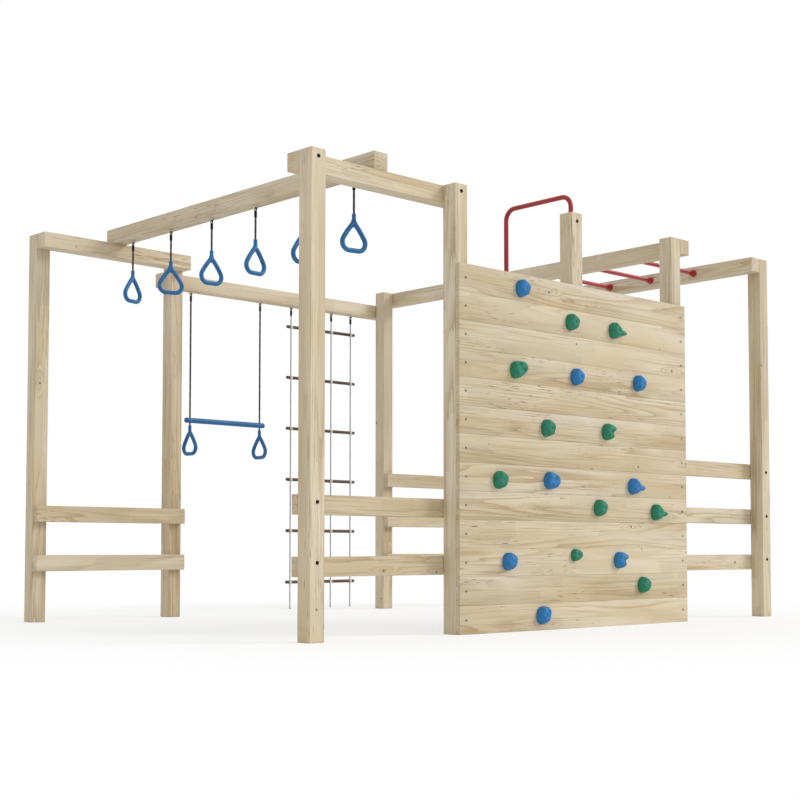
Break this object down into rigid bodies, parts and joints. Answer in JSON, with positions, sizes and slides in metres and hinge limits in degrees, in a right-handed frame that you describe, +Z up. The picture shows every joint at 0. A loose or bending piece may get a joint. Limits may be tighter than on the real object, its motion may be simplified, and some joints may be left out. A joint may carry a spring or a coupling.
{
  "type": "wooden play set",
  "caption": "Timber climbing frame with a wall of coloured holds, hanging ring grips, a trapeze with grips, a rope ladder, overhead monkey bars and a bent climbing pole.",
  "frame": {"origin": "on the ground at the middle of the plan", "axes": "+X along the climbing wall towards the monkey bars, +Y from the climbing wall to the rear, +Z up"},
  "size_m": [3.83, 2.8393, 2.4195],
  "materials": {
    "pine": "planed, untreated",
    "red_coated_steel": "satin powder coat",
    "blue_plastic": "moulded, slightly satin",
    "dark_rope": "laid rope",
    "stained_wood": "dark stain, satin"
  },
  "bodies": {
    "frame": {"post_front_left": "pine", "post_front_wall_left": "pine", "post_front_wall_middle": "pine", "post_front_wall_right": "pine", "post_front_right": "pine", "post_rear_left": "pine", "post_rear_swing_left": "pine", "post_rear_swing_right": "pine", "post_rear_right": "pine", "tie_beam_front": "pine", "tie_beam_rear": "pine", "ring_beam": "pine", "swing_beam": "pine", "bar_beam_left": "pine", "bar_beam_right": "pine", "rail_front_left_lower": "pine", "rail_front_left_upper": "pine", "rail_rear_left_lower": "pine", "rail_rear_left_upper": "pine", "rail_front_right_lower": "pine", "rail_front_right_middle": "pine", "rail_front_right_upper": "pine", "rail_rear_right_lower": "pine", "rail_rear_right_middle": "pine", "rail_rear_right_upper": "pine", "wall_plank_01": "pine", "wall_plank_02": "pine", "wall_plank_03": "pine", "wall_plank_04": "pine", "wall_plank_05": "pine", "wall_plank_06": "pine", "wall_plank_07": "pine", "wall_plank_08": "pine", "wall_plank_09": "pine", "wall_plank_10": "pine", "wall_plank_11": "pine", "wall_plank_12": "pine", "wall_plank_13": "pine", "monkey_bar_1": "red_coated_steel", "monkey_bar_2": "red_coated_steel", "monkey_bar_3": "red_coated_steel", "monkey_bar_4": "red_coated_steel", "monkey_bar_5": "red_coated_steel", "monkey_bar_6": "red_coated_steel", "climbing_pole": "red_coated_steel"},
    "hanging_ring_1": {"ring_1": "blue_plastic"},
    "hanging_ring_2": {"ring_2": "blue_plastic"},
    "hanging_ring_3": {"ring_3": "blue_plastic"},
    "hanging_ring_4": {"ring_4": "blue_plastic"},
    "hanging_ring_5": {"ring_5": "blue_plastic"},
    "hanging_ring_6": {"ring_6": "blue_plastic"},
    "trapeze": {"trapeze_bar": "blue_plastic", "trapeze_rope_left": "dark_rope", "trapeze_rope_right": "dark_rope"},
    "grip_left": {"trapeze_grip_left": "blue_plastic"},
    "grip_right": {"trapeze_grip_right": "blue_plastic"},
    "ladder_upper": {"rope_ladder_upper": "stained_wood"},
    "ladder_middle": {"rope_ladder_middle": "stained_wood"},
    "ladder_lower": {"rope_ladder_lower": "stained_wood"}
  },
  "joints": [
    {"name": "ring_1_swing", "type": "hinge", "parent": "frame", "child": "hanging_ring_1", "pos_m": [-1.395, -1.0532, 2.2823], "axis": [1, 0, 0], "range_deg": [-45, 45]},
    {"name": "ring_2_swing", "type": "hinge", "parent": "frame", "child": "hanging_ring_2", "pos_m": [-1.395, -0.6471, 2.2823], "axis": [1, 0, 0], "range_deg": [-45, 45]},
    {"name": "ring_3_swing", "type": "hinge", "parent": "frame", "child": "hanging_ring_3", "pos_m": [-1.395, -0.241, 2.2823], "axis": [1, 0, 0], "range_deg": [-45, 45]},
    {"name": "ring_4_swing", "type": "hinge", "parent": "frame", "child": "hanging_ring_4", "pos_m": [-1.395, 0.165, 2.2823], "axis": [1, 0, 0], "range_deg": [-45, 45]},
    {"name": "ring_5_swing", "type": "hinge", "parent": "frame", "child": "hanging_ring_5", "pos_m": [-1.395, 0.5711, 2.2823], "axis": [1, 0, 0], "range_deg": [-45, 45]},
    {"name": "ring_6_swing", "type": "hinge", "parent": "frame", "child": "hanging_ring_6", "pos_m": [-1.395, 0.9772, 2.2823], "axis": [1, 0, 0], "range_deg": [-45, 45]},
    {"name": "trapeze_swing", "type": "hinge", "parent": "frame", "child": "trapeze", "pos_m": [-0.434, 1.3398, 2.102], "axis": [1, 0, 0], "range_deg": [-60, 60]},
    {"name": "grip_left_swing", "type": "hinge", "parent": "trapeze", "child": "grip_left", "pos_m": [-0.719, 1.3398, 1.271], "axis": [1, 0, 0], "range_deg": [-60, 60]},
    {"name": "grip_right_swing", "type": "hinge", "parent": "trapeze", "child": "grip_right", "pos_m": [-0.149, 1.3398, 1.271], "axis": [1, 0, 0], "range_deg": [-60, 60]},
    {"name": "ladder_swing", "type": "hinge", "parent": "frame", "child": "ladder_upper", "pos_m": [0.397, 1.3398, 2.102], "axis": [1, 0, 0], "range_deg": [-45, 45]},
    {"name": "ladder_upper_fold", "type": "hinge", "parent": "ladder_upper", "child": "ladder_middle", "pos_m": [0.397, 1.3398, 1.622], "axis": [1, 0, 0], "range_deg": [-35, 35]},
    {"name": "ladder_lower_fold", "type": "hinge", "parent": "ladder_middle", "child": "ladder_lower", "pos_m": [0.397, 1.3398, 0.912], "axis": [1, 0, 0], "range_deg": [-35, 35]}
  ]
}
